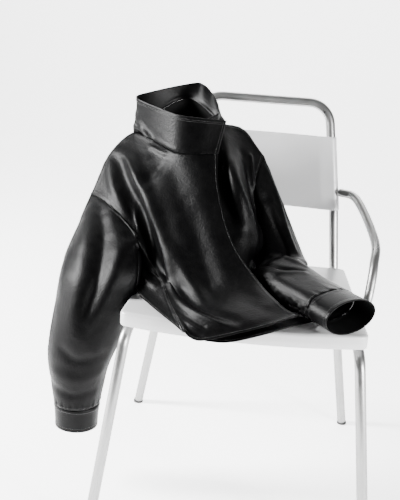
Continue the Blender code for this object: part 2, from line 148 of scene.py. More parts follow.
def tube(name, path, radius, mat, ends=0.0012):
    """A round tube along a path, its two ends slightly rounded over; v runs along it in metres."""
    seg = unit(np.diff(path, axis=0))
    d = unit(np.concatenate([seg[:1], seg[:-1] + seg[1:], seg[-1:]]))
    path = np.concatenate([path[:1], path[:1] + d[0] * ends, path[1:-1],
                           path[-1:] - d[-1] * ends, path[-1:]])
    d = np.concatenate([d[:1], d, d[-1:]])
    size = np.full(len(path), radius)
    size[[0, -1]] -= ends * 0.7
    across = np.cross(d[0], (0.0, 1.0, 0.0) if abs(d[0][1]) < 0.9 else (1.0, 0.0, 0.0))
    verts = []
    for p, axis, r in zip(path, d, size):
        across = unit(across - axis * (across @ axis))
        verts.append(p + r * circle(across, np.cross(axis, across)))
    obj = put(name, np.concatenate(verts), ring_faces(len(path)), mat, sharp=50)
    run = along(path)
    uv = obj.data.uv_layers.new(name="UVMap")
    vi = np.zeros(len(obj.data.loops), int)
    obj.data.loops.foreach_get("vertex_index", vi)
    u = (vi % TUBE_SIDES) / TUBE_SIDES
    corners = u[:-2 * TUBE_SIDES].reshape(-1, 4)    # of the side faces; the two ends come last
    corners += (np.ptp(corners, axis=1, keepdims=True) > 0.5) & (corners < 0.5)
    u *= 2 * pi * radius
    uv.data.foreach_set("uv", np.column_stack([u, run[vi // TUBE_SIDES]]).ravel())
    return obj


def new_group(name, ins, outs):
    """A group that takes a Vector and named numbers (name, value), and gives named numbers."""
    tree = bpy.data.node_groups.new(name, "ShaderNodeTree")
    tree.interface.new_socket("Vector", in_out="INPUT", socket_type="NodeSocketVector")
    for label, value in ins:
        tree.interface.new_socket(label, in_out="INPUT", socket_type="NodeSocketFloat").default_value = value
    for label in outs:
        tree.interface.new_socket(label, in_out="OUTPUT", socket_type="NodeSocketFloat")
    return tree, tree.nodes.new("NodeGroupInput").outputs, tree.nodes.new("NodeGroupOutput").inputs


def node(tree, kind, inputs, **settings):
    """Adds a shader or geometry node, with a value or another node's output on each input."""
    n = tree.nodes.new(kind if kind.startswith("GeometryNode") else "ShaderNode" + kind)
    for key, value in settings.items():
        setattr(n, key, value)
    for key, given in inputs.items():
        if isinstance(given, bpy.types.NodeSocket):
            tree.links.new(given, n.inputs[key])
        else:
            n.inputs[key].default_value = given
    return n.outputs


def object_place(t):
    return node(t, "TexCoord", {})["Object"]


def shades(t, fac, low, high, low_at, high_at):
    """A blend from a low to a high colour between two values of fac."""
    tone = node(t, "ValToRGB", {"Fac": fac})["Color"]
    for stop, place, color in zip(tone.node.color_ramp.elements, (low_at, high_at), (low, high)):
        stop.position, stop.color = place, (*color, 1)
    return tone


def surface(t, b, height, strength, distance, rough=None, color=None):
    """Leads a bump, and a roughness and a colour if given, into a material's main node."""
    bump = node(t, "Bump", {"Height": height, "Strength": strength, "Distance": distance})
    for label, source in (("Normal", bump["Normal"]), ("Roughness", rough), ("Base Color", color)):
        if source is not None:
            t.links.new(source, b.inputs[label])


def finish(name, color, metallic, roughness, more=()):
    """A material with its node tree and its main node."""
    m = bpy.data.materials.new(name)
    m.use_nodes = True
    b = m.node_tree.nodes["Principled BSDF"]
    look = {"Base Color": (*color, 1), "Metallic": metallic, "Roughness": roughness, **dict(more)}
    for label, value in look.items():
        b.inputs[label].default_value = value
    return m, m.node_tree, b


def smudges():
    """Handling marks and faint blotches: a mask, and the roughness that goes with it."""
    t, given, made = new_group("handling_marks", [("Size", 9.0), ("Low", 0.3), ("High", 0.5)],
                               ["Rough", "Mask"])
    blotch = node(t, "TexNoise", {"Vector": given["Vector"], "Scale": given["Size"], "Detail": 6.0,
                                  "Roughness": 0.62, "Distortion": 0.35})["Fac"]
    rough = node(t, "MapRange", {"Value": blotch, "From Min": 0.3, "From Max": 0.72,
                                 "To Min": given["Low"], "To Max": given["High"]})
    t.links.new(rough["Result"], made["Rough"])
    t.links.new(blotch, made["Mask"])
    return t


HANDLING = smudges()


def handled(t, size, low, high):
    """The mask and roughness of handling marks of one size."""
    return node(t, "Group", {"Vector": object_place(t), "Size": size, "Low": low, "High": high},
                node_tree=HANDLING)


def brushed_steel():
    m, t, b = finish("brushed_steel", (0.36, 0.36, 0.355), 1.0, 0.33, {"Anisotropic": 0.35})
    where = node(t, "UVMap", {}, uv_map="UVMap")["UV"]
    fine = node(t, "Mapping", {"Vector": where, "Scale": (2600, 26, 1)})["Vector"]
    lines = node(t, "TexNoise", {"Vector": fine, "Scale": 1.0, "Detail": 3.0, "Roughness": 0.6},
                 noise_dimensions="2D")["Fac"]
    tone = shades(t, lines, (0.25, 0.25, 0.247), (0.38, 0.38, 0.378), 0.32, 0.68)
    surface(t, b, lines, 0.12, 0.0003, handled(t, 16.0, 0.26, 0.44)["Rough"], tone)
    return m


STEEL = brushed_steel()


def settle(piece, slot, *nodes):
    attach(piece, "root")
    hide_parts(*nodes)


def up_the_leg(foot, top, top_z):
    """Where a leg meets the floor, and the way it points."""
    a, b = np.array([*foot, 0.0]), np.array([*top, top_z])
    return a, unit(b - a)


for sx, hand in HANDS:
    start, d = up_the_leg(FRONT_FOOT, FRONT_TOP, RAIL_Z)
    rail_end = (REAR_TOP[0] + 0.001, REAR_TOP[1] - TUBE_R * 2 - 0.0006, RAIL_Z)
    path = rounded([start + d * ((FOOT_CAP_H + CAP_GAP) / d[2]), (*FRONT_TOP, RAIL_Z), rail_end], [0.045])
    path[:, 0] *= sx
    settle(tube("leg_and_rail_" + hand, path, TUBE_R, STEEL), "brushed_steel", "front_leg_" + hand)

# ---- back loop --------------------------------------------------------------
# The rear legs, the uprights and the top rail are one long bent tube. It splays out to the
# rear feet below the seat and leans back above it.
LOOP_LOW, LOOP_TOP = (0.187, 0.241, 0.590), (0.153, 0.297, 0.836)
rear_z = SEAT_TOP - SEAT_EDGE
start, d = up_the_leg(REAR_FOOT, REAR_TOP, rear_z)
half = [tuple(start + d * ((FOOT_CAP_H + CAP_GAP) / d[2])), (*REAR_TOP, rear_z), LOOP_LOW, LOOP_TOP]
bends = [0.10, 0.25, 0.055, 0.055, 0.25, 0.10]
loop = rounded(half + [(-x, y, z) for x, y, z in half[::-1]], bends, 14)
settle(tube("back_loop", loop, TUBE_R, STEEL), "brushed_steel", "back_frame")

# ---- arms -------------------------------------------------------------------
# Each arm is a slightly thinner tube, cut to the upright at its top, bent out and down to the seat's
# side, where it is fixed to the pan.
def upright(z):
    """Centre of the right upright at a height, in x and y."""
    rise = (z - LOOP_LOW[2]) / (LOOP_TOP[2] - LOOP_LOW[2])
    return [low + (top - low) * rise for low, top in zip(LOOP_LOW[:2], LOOP_TOP[:2])]


ARM_Z = 0.634
x, y = upright(ARM_Z)
arm = [(x + 0.0152, y - 0.0110, ARM_Z), (0.236, 0.205, 0.626), (0.272, 0.080, 0.566),
       (0.268, 0.010, 0.530), (0.262, -0.022, 0.480), (0.257, -0.030, 0.446)]
arm_path = spline(arm, np.linspace(0, len(arm) - 1, 90))
for sx, hand in HANDS:
    settle(tube("armrest_" + hand, arm_path * np.array([sx, 1, 1]), TUBE_R - 0.001, STEEL),
           "brushed_steel", "arm_" + hand)

# ---- foot caps --------------------------------------------------------------
# A low disc of black rubber closes the end of each leg. It is a little wider than the tube, with
# its edges rounded over.
CAP_PROFILE = ((0.0114, 0.0), (0.0122, 0.0005), (0.0125, 0.0014), (0.0124, 0.0036),
               (0.0122, 0.0050), (0.0116, 0.0058), (0.0110, 0.0060))      # radius, height
CAP_SOLE = 0.005           # the rings are level at the floor and square to the leg from here up


def rubber():
    m, t, b = finish("cap_rubber", (0.018, 0.018, 0.018), 0.0, 0.7)
    marks = handled(t, 120.0, 0.55, 0.85)
    surface(t, b, marks["Mask"], 0.2, 0.0005, marks["Rough"])
    return m


RUBBER = rubber()
for row, foot, top, top_z in (("front", FRONT_FOOT, FRONT_TOP, RAIL_Z),
                              ("rear", REAR_FOOT, REAR_TOP, rear_z)):
    for sx, hand in HANDS:
        a, d = up_the_leg((sx * foot[0], foot[1]), (sx * top[0], top[1]), top_z)
        across = unit(np.cross(d, (0, 1, 0)))
        round_leg = circle(across, np.cross(d, across))
        rings = []
        for r, h in CAP_PROFILE:
            p = a + d * (h / d[2]) + r * round_leg
            lean = np.clip(1 - h / CAP_SOLE, 0, 1)
            rings.append(p - np.outer((p[:, 2] - h) / d[2] * lean, d))
        verts = np.concatenate(rings)
        verts[:, 2] = np.maximum(verts[:, 2], 0)
        cap = put("foot_cap_%s_%s" % (row, hand), verts, ring_faces(len(rings)), RUBBER, sharp=40)
        settle(cap, "rubber", "foot_%s_%s" % (row, hand))

# ---- seat -------------------------------------------------------------------
# The seat is a pan pressed from 2 mm sheet: flat on top, its edge rolled down and a lip
# turned in below, painted a pale satin grey.
SEAT_FRONT, SEAT_REAR = 0.245, 0.225
SEAT_FRONT_Y, SEAT_REAR_Y = -0.224, 0.190
SEAT_BOW, SEAT_LIP, SEAT_CORNER, SHEET = 0.030, 0.020, 0.014, 0.002
SEAT_ROLL, SEAT_STEPS = 0.006, 280


def painted():
    coat = {"Coat Roughness": 0.25, "Coat Weight": 0.2}
    m, t, b = finish("pale_paint", (0.52, 0.52, 0.525), 0.15, 0.4, coat)
    marks = handled(t, 7.0, 0.34, 0.5)
    peel = node(t, "TexNoise", {"Vector": object_place(t), "Scale": 420.0, "Detail": 2.0})["Fac"]
    tone = node(t, "MixRGB", {"Fac": marks["Mask"], "Color1": (0.50, 0.50, 0.505, 1),
                              "Color2": (0.60, 0.60, 0.605, 1)})["Color"]
    surface(t, b, peel, 0.06, 0.0004, marks["Rough"], tone)
    return m


PAINT = painted()


def seat_outline(inset, n_front=72, n_side=30, n_corner=9):
    """Closed plan outline, anticlockwise seen from above, with rounded corners."""
    w_f, w_r = SEAT_FRONT - inset, SEAT_REAR - inset
    y_f, y_r = SEAT_FRONT_Y + inset, SEAT_REAR_Y - inset
    front = [(x, y_f - SEAT_BOW * (1 - (x / w_f) ** 2)) for x in np.linspace(-w_f, w_f, n_front + 1)]
    sides = [front, [(w_f, y_f), (w_r, y_r)], [(w_r, y_r), (-w_r, y_r)], [(-w_r, y_r), (-w_f, y_f)]]
    radius = max(SEAT_CORNER - inset, 0.004)
    out = []
    for k, line in enumerate(sides):
        line = np.array(line if k == 0 else np.linspace(line[0], line[1], n_side + 1))
        after = np.array(sides[(k + 1) % 4][1])
        c, a, b = line[-1], line[-2] - line[-1], after - line[-1]
        a, b = unit(a), unit(b)
        keep = np.linalg.norm(line[1:-1] - c, axis=1) > radius
        keep &= np.linalg.norm(line[1:-1] - line[0], axis=1) > radius
        out += list(line[1:-1][keep])
        for t in np.linspace(0, 1, n_corner):
            out.append(c + a * radius * (1 - t) ** 2 + b * radius * t ** 2)
    return np.array(out)


def resampled(loop, n):
    """A closed outline read at n even steps."""
    ring = np.concatenate([loop, loop[:1]])
    s = along(ring)
    at = np.linspace(0, s[-1], n + 1)[:-1]
    return np.column_stack([np.interp(at, s, ring[:, k]) for k in range(2)])


def rolled(radius, angles):
    """Part of the rolled edge: (distance in from the outline, height)."""
    return [(SEAT_ROLL - radius * sin(a), SEAT_TOP - SEAT_ROLL + radius * cos(a)) for a in angles]


z1, z0 = SEAT_TOP, SEAT_TOP - SEAT_EDGE
profile = [(0.03, z1), (0.012, z1)] + rolled(SEAT_ROLL, np.linspace(0, pi / 2, 8))
profile += [(0.0, z1 - 0.016), (0.0, z0 + 0.003), (0.0009, z0 + 0.0009), (0.003, z0), (SEAT_LIP, z0),
            (SEAT_LIP + 0.0006, z0 + 0.001), (SEAT_LIP, z0 + SHEET), (0.004, z0 + SHEET), (SHEET, z0 + 0.004)]
profile += rolled(SEAT_ROLL - SHEET, np.linspace(pi / 2, 0, 6)) + [(0.012, z1 - SHEET), (0.03, z1 - SHEET)]
m = SEAT_STEPS
loops = [np.column_stack([resampled(seat_outline(i), m), np.full(m, z)]) for i, z in profile]
verts, faces = list(np.concatenate(loops)), []
for k in range(len(loops) - 1):
    faces += [(k * m + j, (k + 1) * m + j, (k + 1) * m + (j + 1) % m, k * m + (j + 1) % m) for j in range(m)]
last = (len(loops) - 1) * m
top_c, low_c = len(verts), len(verts) + 1
verts += [np.array([0, -0.03, z1]), np.array([0, -0.03, z1 - SHEET])]
faces += [(top_c, j, (j + 1) % m) for j in range(m)]
faces += [(low_c, last + (j + 1) % m, last + j) for j in range(m)]
settle(put("seat_pan", verts, faces, PAINT, sharp=35), "painted_sheet", "seat")

# ---- back panel -------------------------------------------------------------
# One rectangle of the same sheet, bowed a little backwards, its two side edges rolled round
# the front of the uprights and spot welded there.
PANEL_LOW, PANEL_TOP = 0.590, 0.761
PANEL_BOW = 0.012
radius = TUBE_R + SHEET / 2 + 0.0006
rows = []
for z in np.linspace(PANEL_LOW, PANEL_TOP, 30):
    x, y = upright(z)
    flat = [(t, y - radius + PANEL_BOW * max(0, 1 - (t / (x - 0.03)) ** 2), z)
            for t in np.linspace(-x, x, 70)]
    roll = [(x + radius * sin(a), y - radius * cos(a), z) for a in np.radians(np.linspace(8, 80, 10))]
    rows.append([(-a, b, c) for a, b, c in roll[::-1]] + flat + roll)
panel_grid = np.array(rows)


def quads_of(ids):
    return np.stack([ids[:-1, :-1], ids[:-1, 1:], ids[1:, 1:], ids[1:, :-1]], -1).reshape(-1, 4)


def normals_of(points, quads, most=1.0):
    """Vertex normals; above 1, most lets them grow across a sharp fold to keep a wall's thickness."""
    n, fit, count = np.zeros_like(points), np.zeros(len(points)), np.zeros(len(points))
    q = points[quads]
    face = np.cross(q[:, 2] - q[:, 0], q[:, 3] - q[:, 1])
    for k in range(4):
        np.add.at(n, quads[:, k], face)
    n = unit(n)
    if most <= 1:
        return n
    face = unit(face)
    for k in range(4):
        np.add.at(fit, quads[:, k], (face * n[quads[:, k]]).sum(1))
        np.add.at(count, quads[:, k], 1)
    return n / np.clip(fit / np.maximum(count, 1), 1 / most, 1)[:, None]


def border_of(quads):
    """Directed edges that only one face uses."""
    e = np.concatenate([quads[:, [k, (k + 1) % 4]] for k in range(4)])
    big = int(quads.max()) + 1
    key, back = e[:, 0] * big + e[:, 1], e[:, 1] * big + e[:, 0]
    return e[~np.isin(key, back)]


def wall(name, points, normals, quads, thick, mats, lift=0.0, inset=0.0, backing=False):
    """A closed wall on both sides of a sheet of quads. thick may differ from point to point."""
    used, q = np.unique(quads, return_inverse=True)
    q = q.reshape(-1, 4)
    p, n = points[used].copy(), normals[used]
    t = np.broadcast_to(np.asarray(thick, float), len(points))[used][:, None]
    edge = border_of(q)
    inward = np.zeros_like(p)
    sideways = unit(np.cross(n[edge[:, 0]] + n[edge[:, 1]], p[edge[:, 1]] - p[edge[:, 0]]))
    np.add.at(inward, edge[:, 0], sideways)
    np.add.at(inward, edge[:, 1], sideways)
    size = np.linalg.norm(inward, axis=1, keepdims=True)
    step = np.where(size > 0, inward / np.maximum(size, 1e-9), 0)
    p = p + step * inset
    # The edge is rounded: its two faces end short of the middle of the wall's thickness.
    m = len(p)
    top, under = p + n * (lift + t / 2), p + n * (lift - t / 2)
    rim, at = np.unique(edge, return_inverse=True)
    at = at.reshape(-1, 2)
    middle = p[rim] + n[rim] * lift
    round_out = np.minimum(t[rim] * 0.35, 0.0006)
    top[rim] += step[rim] * round_out
    under[rim] += step[rim] * round_out
    faces = np.concatenate([q, q[:, ::-1] + m])
    e, a = edge, at + 2 * m
    sides = np.concatenate([np.column_stack([e[:, 1], e[:, 0], a[:, 0], a[:, 1]]),
                            np.column_stack([a[:, 1], a[:, 0], e[:, 0] + m, e[:, 1] + m])])
    kinds = np.zeros(len(faces) + len(sides), int)
    kinds[len(q):len(faces)] = int(backing)
    return put(name, np.vstack([top, under, middle]), np.concatenate([faces, sides]), mats, per_face=kinds)


flat_ids = np.arange(panel_grid.shape[0] * panel_grid.shape[1]).reshape(panel_grid.shape[:2])
panel_points, panel_quads = panel_grid.reshape(-1, 3), quads_of(flat_ids)
settle(wall("back_sheet", panel_points, normals_of(panel_points, panel_quads), panel_quads, SHEET, PAINT),
       "painted_sheet", "back_panel")

# ---- jacket: cut and lie ----------------------------------------------------
# The jacket is cut from thin black cowhide and sewn into one hollow shell. These tables say how
# each piece lies, in mm: rows run hem, low, waist, underarm, chest, shoulder.
LEATHER = 0.0012
K_ROWS, K_COLS = 8, 6
SIDE_ROWS, BODY_ROWS = 11 * K_ROWS, 20 * K_ROWS
RIGHT_FRONT = (            # columns: placket edge, inner, middle, outer, side seam or armhole
    ((104, -232, 489), (43, -270, 475), (-21, -288, 458), (-78, -296, 444), (-111, -292, 457)),
    ((70, -208, 498), (-3, -244, 487), (-72, -260, 475), (-107, -246, 474), (-146, -210, 475)),
    ((21, -150, 523), (-49, -170, 514), (-131, -160, 500), (-160, -128, 497), (-188, -112, 502)),
    ((-40, -90, 586), (-99, -100, 584), (-180, -88, 573), (-219, -56, 562), (-243, -58, 553)),
    ((-78, -30, 675), (-143, -40, 672), (-233, -14, 665), (-290, 22, 658), (-315, -3, 612)),
    ((-89, 18, 742), (-180, 18, 739), (-291, 120, 759), (-340, 97, 708), (-372, 55, 622)))
LEFT_FRONT = (             # columns: hidden edge, inner, middle, outer, side seam or armhole
    ((-68, -286, 440), (-24, -288, 443), (38, -284, 463), (94, -252, 474), (140, -190, 464)),
    ((-20, -246, 471), (8, -240, 473), (40, -215, 472), (56, -150, 468), (32, -48, 468)),
    ((-24, -124, 509), (-10, -98, 514), (0, -68, 510), (10, -34, 502), (16, 8, 497)),
    ((-72, -50, 578), (-35, -42, 589), (-6, -28, 584), (12, 14, 568), (28, 64, 546)),
    ((-110, 2, 670), (-76, 16, 690), (-46, 0, 697), (-21, 46, 681), (-4, 64, 662)),
    ((-125, 48, 742), (-110, 78, 762), (-90, 122, 795), (-42, 135, 781), (8, 125, 729)))
BACK = (                   # columns: right side, outer, right, centre, left, outer, left side
    ((-111, -292, 457), (-229, -130, 470), (-205, -82, 490), (-110, -40, 464), (0, -40, 463),
     (86, -100, 461), (140, -190, 464)),
    ((-146, -210, 475), (-229, -75, 486), (-210, 10, 484), (-110, 50, 465), (-10, 55, 464),
     (22, 20, 462), (32, -48, 468)),
    ((-188, -112, 502), (-228, -20, 520), (-202, 110, 512), (-110, 166, 484), (-30, 165, 484),
     (4, 95, 482), (16, 8, 497)),
    ((-243, -58, 553), (-233, 60, 590), (-182, 172, 600), (-110, 205, 602), (-44, 200, 602),
     (0, 146, 582), (28, 64, 546)),
    ((-308, 98, 652), (-278, 165, 690), (-215, 212, 710), (-135, 230, 712), (-55, 225, 705),
     (-8, 195, 680), (30, 128, 632)),
    ((-372, 55, 622), (-340, 97, 708), (-291, 120, 759), (-190, 206, 832), (-90, 122, 795),
     (-42, 135, 781), (8, 125, 729)))


def stops(pairs):
    """Places along a control row: (mesh steps, control steps) for each stretch in turn."""
    out, at = [0.0], 0.0
    for steps, span in pairs:
        out += [at + span * (k + 1) / steps for k in range(steps)]
        at += span
    return out


def cut(table, *stretches):
    """Grid [row, column] of a piece, in metres."""
    net = np.array(table, float) / 1000
    rows = spline(net.transpose(1, 0, 2), stops(stretches))
    return spline(rows.transpose(1, 0, 2), stops([(SIDE_ROWS, 3), (BODY_ROWS - SIDE_ROWS, 2)]))


def pull_side(grid, seam, last, reach=4 * K_COLS):
    """Moves the lower part of a side edge onto a seam and eases the columns beside it."""
    g = grid[:, ::-1] if last else grid
    shift = seam - g[:len(seam), 0]
    for k in range(reach):
        g[:len(seam), k] += shift * (1 - k / reach) ** 2


def join(front, back, neck_columns, back_columns, last_side):
    """One side seam and one shoulder seam for a front and the back."""
    side = 0.5 * (front[:SIDE_ROWS + 1, -1] + back[:SIDE_ROWS + 1, -1 if last_side else 0])
    pull_side(front, side, True)
    pull_side(back, side, last_side)
    seam = 0.5 * (front[-1, neck_columns:] + back[-1, back_columns])
    for grid, columns in ((front, slice(neck_columns, None)), (back, back_columns)):
        shift = seam - grid[-1, columns]
        for k in range(4 * K_ROWS):
            grid[-1 - k, columns] += shift * (1 - k / (4 * K_ROWS)) ** 2


right = cut(RIGHT_FRONT, (10 * K_COLS, 2), (7 * K_COLS, 2))
left = cut(LEFT_FRONT, (5 * K_COLS, 2), (6 * K_COLS, 2))
back = cut(BACK, (7 * K_COLS, 2), (9 * K_COLS, 2), (6 * K_COLS, 2))
join(right, back, 10 * K_COLS, slice(7 * K_COLS, None, -1), False)
join(left, back, 5 * K_COLS, slice(16 * K_COLS, 22 * K_COLS + 1), True)

# Sleeve rings below the armhole: centre, heading and dip of the arm in degrees, half width,
# half depth, and the angles of the over and under seams.
RIGHT_SLEEVE = ((-325, -45, 534, -125, 90, 84, 50, 172, -12), (-321, -90, 468, -105, 86, 84, 60, 165, 6),
                (-333, -110, 372, -90, 88, 79, 62, 160, 8), (-350, -118, 290, -92, 90, 66, 53, 160, 5),
                (-352, -117, 200, -90, 92, 51, 46, 160, 5), (-353, -116, 137, -90, 90, 46, 42, 160, 5))
LEFT_SLEEVE = ((68, 68, 532, -76, 70, 38, 56, 30, 190), (74, 2, 507, -66, 42, 55, 43, 26, 196),
               (66, -54, 507, -54, 14, 70, 40, 22, 200), (101, -102, 503, -52, 6, 67, 36, 20, 200),
               (154, -166, 499, -52, 4, 61, 34, 20, 200), (205, -229, 495, -52, 3, 62, 35, 20, 200))
CUFF_LENGTH = 0.058
SLEEVE_ROWS, CUFF_ROWS = 18 * K_ROWS, 2 * K_ROWS + 2


def ring(x, y, z, heading, dip, wide, deep, over_at, under_at, n):
    head, dip = radians(heading), radians(dip)
    ahead = np.array([cos(head), sin(head), 0])
    across = np.array([-ahead[1], ahead[0], 0])
    stand = ahead * sin(dip) + np.array([0, 0, cos(dip)])
    turn = 360 if under_at > over_at else -360
    a = np.radians(np.concatenate([np.linspace(over_at, under_at, n + 1)[:-1],
                                   np.linspace(under_at, over_at + turn, n + 1)[:-1]]))[:, None]
    return (np.array([x, y, z]) + across * wide * np.cos(a) + stand * deep * np.sin(a)) / 1000


def sleeve(start, table):
    """Closed grid [row, column] from the armhole, where it starts, to the cuff's end."""
    n = len(start) // 2
    rings = np.array([start] + [ring(*r, n) for r in table])
    cuff = 1 - CUFF_LENGTH / np.linalg.norm(rings[-1].mean(0) - rings[-2].mean(0))
    last = len(rings) - 2
    places = [k * (last + cuff) / SLEEVE_ROWS for k in range(SLEEVE_ROWS + 1)]
    places += [last + cuff + (1 - cuff) * (k + 1) / CUFF_ROWS for k in range(CUFF_ROWS)]
    g = spline(rings, places)
    return np.concatenate([g, g[:, :1]], axis=1)


def armhole(front, back_side):
    """The ring of points where a front and the back meet the sleeve."""
    return np.concatenate([front[SIDE_ROWS:, -1][::-1][:-1], back[SIDE_ROWS:, back_side][:-1]])


right_arm = sleeve(armhole(right, 0), RIGHT_SLEEVE)
left_arm = sleeve(armhole(left, -1), LEFT_SLEEVE)

# The collar stands on the neck seam. Its rim runs from the right front's end, round the back,
# to the left front's hidden end.
RIM = ((-77, 43, 812), (-132, 30, 815), (-178, 35, 817), (-227, 70, 824), (-288, 120, 838),
       (-262, 170, 848), (-172, 210, 870), (-145, 205, 868), (-124, 188, 853), (-109, 152, 837),
       (-102, 108, 820), (-128, 74, 804))
COLLAR_ROWS, COLLAR_PLY = 24, 0.0011
neck = np.concatenate([right[-1, :10 * K_COLS + 1], back[-1, 7 * K_COLS + 1:16 * K_COLS + 1],
                       left[-1, :5 * K_COLS][::-1]])


def even(curve):
    return along(curve) / along(curve)[-1]


rim_curve = spline(np.array(RIM) / 1000, np.linspace(0, len(RIM) - 1, 200))
at = np.interp(even(neck), even(rim_curve), np.linspace(0, 1, 200))
rim_line = np.stack([np.interp(at, np.linspace(0, 1, 200), rim_curve[:, k]) for k in range(3)], 1)
collar = np.array([neck + (rim_line - neck) * (k / COLLAR_ROWS) for k in range(COLLAR_ROWS + 1)])

# All pieces share the points of their seams, so that neighbours meet in one line.
half_arm = BODY_ROWS - SIDE_ROWS
grids = {"right_front": right, "left_front": left, "back": back, "right_arm": right_arm,
         "left_arm": left_arm, "collar": collar}
stacked = np.concatenate([g.reshape(-1, 3) for g in grids.values()])
_, first, which = np.unique(np.round(stacked, 5), axis=0, return_index=True, return_inverse=True)
points, which = stacked[first], which.reshape(-1)
ids, at = {}, 0
for name, g in grids.items():
    n = g.shape[0] * g.shape[1]
    ids[name] = which[at:at + n].reshape(g.shape[:2])
    at += n
quads = {"right_front": quads_of(ids["right_front"][:, ::-1]), "left_front": quads_of(ids["left_front"]),
         "back": quads_of(ids["back"][:, ::-1]), "collar": quads_of(ids["collar"][:, ::-1])}
for hand, step in (("right", -1), ("left", 1)):
    g = ids[hand + "_arm"]
    quads[hand + "_sleeve_front"] = quads_of(g[:SLEEVE_ROWS + 1, :half_arm + 1][:, ::step])
    quads[hand + "_sleeve_back"] = quads_of(g[:SLEEVE_ROWS + 1, half_arm:][:, ::step])
    quads[hand + "_cuff"] = quads_of(g[SLEEVE_ROWS:, ::step])
all_quads = np.concatenate(list(quads.values()))
owned = {name: np.isin(np.arange(len(points)), q) for name, q in quads.items()}
base_normals = normals_of(points, all_quads)

